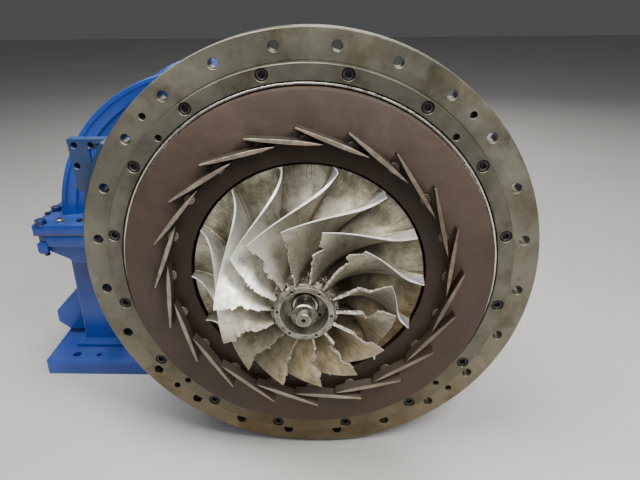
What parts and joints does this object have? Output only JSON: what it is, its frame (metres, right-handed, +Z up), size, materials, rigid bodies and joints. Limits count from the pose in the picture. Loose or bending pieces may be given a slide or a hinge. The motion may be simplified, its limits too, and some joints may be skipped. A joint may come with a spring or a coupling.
{
  "type": "geared turbo blower head with open impeller",
  "caption": "Opened head of a geared turbo blower: semi-open impeller inside a bolting ring with turning diffuser vanes, on a gear casing with base plate.",
  "frame": {"origin": "centre of the bounding box's footprint, on the floor", "axes": "+Z up; the impeller and the bolting ring face -Y; the rotor axis runs along Y, 520 mm above the floor"},
  "size_m": [1.364, 1.099, 1.034],
  "materials": {
    "machined_steel": "bare machined face with oil and oxide smudges",
    "bright_steel": "turned and polished",
    "brown_primer": "matt brown primer over cast iron",
    "cast_impeller": "cast and blasted, stained",
    "vane_metal": "dull machined",
    "blue_paint": "gloss blue enamel over cast iron"
  },
  "bodies": {
    "frame": {"base_plate": "blue_paint", "lower_casing": "blue_paint", "upper_casing": "blue_paint", "casing_neck": "blue_paint", "rear_wall": "blue_paint", "flange_ring": "machined_steel", "clamp_ring": "machined_steel", "lip_ring": "bright_steel", "diffuser_plate": "brown_primer", "drive_bracket": "blue_paint", "oil_pocket": "blue_paint", "pinion_cover": "blue_paint", "input_cover": "blue_paint"},
    "rotor": {"impeller_hub": "cast_impeller", "impeller_blade_01": "cast_impeller", "impeller_blade_02": "cast_impeller", "impeller_blade_03": "cast_impeller", "impeller_blade_04": "cast_impeller", "impeller_blade_05": "cast_impeller", "impeller_blade_06": "cast_impeller", "impeller_blade_07": "cast_impeller", "impeller_blade_08": "cast_impeller", "impeller_blade_09": "cast_impeller", "impeller_blade_10": "cast_impeller", "impeller_blade_11": "cast_impeller", "impeller_blade_12": "cast_impeller", "impeller_blade_13": "cast_impeller", "impeller_blade_14": "cast_impeller", "pinion_shaft": "bright_steel"},
    "input_rotor": {"input_shaft": "bright_steel"},
    "vane_01": {"vane_01": "vane_metal"},
    "vane_02": {"vane_02": "vane_metal"},
    "vane_03": {"vane_03": "vane_metal"},
    "vane_04": {"vane_04": "vane_metal"},
    "vane_05": {"vane_05": "vane_metal"},
    "vane_06": {"vane_06": "vane_metal"},
    "vane_07": {"vane_07": "vane_metal"},
    "vane_08": {"vane_08": "vane_metal"},
    "vane_09": {"vane_09": "vane_metal"},
    "vane_10": {"vane_10": "vane_metal"},
    "vane_11": {"vane_11": "vane_metal"},
    "vane_12": {"vane_12": "vane_metal"},
    "vane_13": {"vane_13": "vane_metal"},
    "vane_14": {"vane_14": "vane_metal"},
    "vane_15": {"vane_15": "vane_metal"},
    "vane_16": {"vane_16": "vane_metal"},
    "vane_17": {"vane_17": "vane_metal"},
    "vane_18": {"vane_18": "vane_metal"},
    "vane_19": {"vane_19": "vane_metal"},
    "vane_20": {"vane_20": "vane_metal"}
  },
  "joints": [
    {"name": "input_spin", "type": "hinge", "parent": "frame", "child": "input_rotor", "pos_m": [-0.12, 0.461, 0.476], "axis": [0, 1, 0], "continuous": true},
    {"name": "rotor_spin", "type": "hinge", "parent": "frame", "child": "rotor", "pos_m": [0.168, -0.524, 0.52], "axis": [0, 1, 0], "continuous": true},
    {"name": "vane_01_pivot", "type": "hinge", "parent": "frame", "child": "vane_01", "pos_m": [0.168, -0.361, 0.823], "axis": [0, 1, 0], "range_deg": [0, 24]},
    {"name": "vane_02_pivot", "type": "hinge", "parent": "frame", "child": "vane_02", "pos_m": [0.26163, -0.361, 0.80817], "axis": [0, 1, 0], "range_deg": [0, 24]},
    {"name": "vane_03_pivot", "type": "hinge", "parent": "frame", "child": "vane_03", "pos_m": [0.3461, -0.361, 0.76513], "axis": [0, 1, 0], "range_deg": [0, 24]},
    {"name": "vane_04_pivot", "type": "hinge", "parent": "frame", "child": "vane_04", "pos_m": [0.41313, -0.361, 0.6981], "axis": [0, 1, 0], "range_deg": [0, 24]},
    {"name": "vane_05_pivot", "type": "hinge", "parent": "frame", "child": "vane_05", "pos_m": [0.45617, -0.361, 0.61363], "axis": [0, 1, 0], "range_deg": [0, 24]},
    {"name": "vane_06_pivot", "type": "hinge", "parent": "frame", "child": "vane_06", "pos_m": [0.471, -0.361, 0.52], "axis": [0, 1, 0], "range_deg": [0, 24]},
    {"name": "vane_07_pivot", "type": "hinge", "parent": "frame", "child": "vane_07", "pos_m": [0.45617, -0.361, 0.42637], "axis": [0, 1, 0], "range_deg": [0, 24]},
    {"name": "vane_08_pivot", "type": "hinge", "parent": "frame", "child": "vane_08", "pos_m": [0.41313, -0.361, 0.3419], "axis": [0, 1, 0], "range_deg": [0, 24]},
    {"name": "vane_09_pivot", "type": "hinge", "parent": "frame", "child": "vane_09", "pos_m": [0.3461, -0.361, 0.27487], "axis": [0, 1, 0], "range_deg": [0, 24]},
    {"name": "vane_10_pivot", "type": "hinge", "parent": "frame", "child": "vane_10", "pos_m": [0.26163, -0.361, 0.23183], "axis": [0, 1, 0], "range_deg": [0, 24]},
    {"name": "vane_11_pivot", "type": "hinge", "parent": "frame", "child": "vane_11", "pos_m": [0.168, -0.361, 0.217], "axis": [0, 1, 0], "range_deg": [0, 24]},
    {"name": "vane_12_pivot", "type": "hinge", "parent": "frame", "child": "vane_12", "pos_m": [0.07437, -0.361, 0.23183], "axis": [0, 1, 0], "range_deg": [0, 24]},
    {"name": "vane_13_pivot", "type": "hinge", "parent": "frame", "child": "vane_13", "pos_m": [-0.0101, -0.361, 0.27487], "axis": [0, 1, 0], "range_deg": [0, 24]},
    {"name": "vane_14_pivot", "type": "hinge", "parent": "frame", "child": "vane_14", "pos_m": [-0.07713, -0.361, 0.3419], "axis": [0, 1, 0], "range_deg": [0, 24]},
    {"name": "vane_15_pivot", "type": "hinge", "parent": "frame", "child": "vane_15", "pos_m": [-0.12017, -0.361, 0.42637], "axis": [0, 1, 0], "range_deg": [0, 24]},
    {"name": "vane_16_pivot", "type": "hinge", "parent": "frame", "child": "vane_16", "pos_m": [-0.135, -0.361, 0.52], "axis": [0, 1, 0], "range_deg": [0, 24]},
    {"name": "vane_17_pivot", "type": "hinge", "parent": "frame", "child": "vane_17", "pos_m": [-0.12017, -0.361, 0.61363], "axis": [0, 1, 0], "range_deg": [0, 24]},
    {"name": "vane_18_pivot", "type": "hinge", "parent": "frame", "child": "vane_18", "pos_m": [-0.07713, -0.361, 0.6981], "axis": [0, 1, 0], "range_deg": [0, 24]},
    {"name": "vane_19_pivot", "type": "hinge", "parent": "frame", "child": "vane_19", "pos_m": [-0.0101, -0.361, 0.76513], "axis": [0, 1, 0], "range_deg": [0, 24]},
    {"name": "vane_20_pivot", "type": "hinge", "parent": "frame", "child": "vane_20", "pos_m": [0.07437, -0.361, 0.80817], "axis": [0, 1, 0], "range_deg": [0, 24]}
  ],
  "couplings": [
    {"joint": "rotor_spin", "follows": "input_spin", "ratio": -5.069},
    {"joint": "vane_02_pivot", "follows": "vane_01_pivot", "ratio": 1},
    {"joint": "vane_03_pivot", "follows": "vane_01_pivot", "ratio": 1},
    {"joint": "vane_04_pivot", "follows": "vane_01_pivot", "ratio": 1},
    {"joint": "vane_05_pivot", "follows": "vane_01_pivot", "ratio": 1},
    {"joint": "vane_06_pivot", "follows": "vane_01_pivot", "ratio": 1},
    {"joint": "vane_07_pivot", "follows": "vane_01_pivot", "ratio": 1},
    {"joint": "vane_08_pivot", "follows": "vane_01_pivot", "ratio": 1},
    {"joint": "vane_09_pivot", "follows": "vane_01_pivot", "ratio": 1},
    {"joint": "vane_10_pivot", "follows": "vane_01_pivot", "ratio": 1},
    {"joint": "vane_11_pivot", "follows": "vane_01_pivot", "ratio": 1},
    {"joint": "vane_12_pivot", "follows": "vane_01_pivot", "ratio": 1},
    {"joint": "vane_13_pivot", "follows": "vane_01_pivot", "ratio": 1},
    {"joint": "vane_14_pivot", "follows": "vane_01_pivot", "ratio": 1},
    {"joint": "vane_15_pivot", "follows": "vane_01_pivot", "ratio": 1},
    {"joint": "vane_16_pivot", "follows": "vane_01_pivot", "ratio": 1},
    {"joint": "vane_17_pivot", "follows": "vane_01_pivot", "ratio": 1},
    {"joint": "vane_18_pivot", "follows": "vane_01_pivot", "ratio": 1},
    {"joint": "vane_19_pivot", "follows": "vane_01_pivot", "ratio": 1},
    {"joint": "vane_20_pivot", "follows": "vane_01_pivot", "ratio": 1}
  ]
}
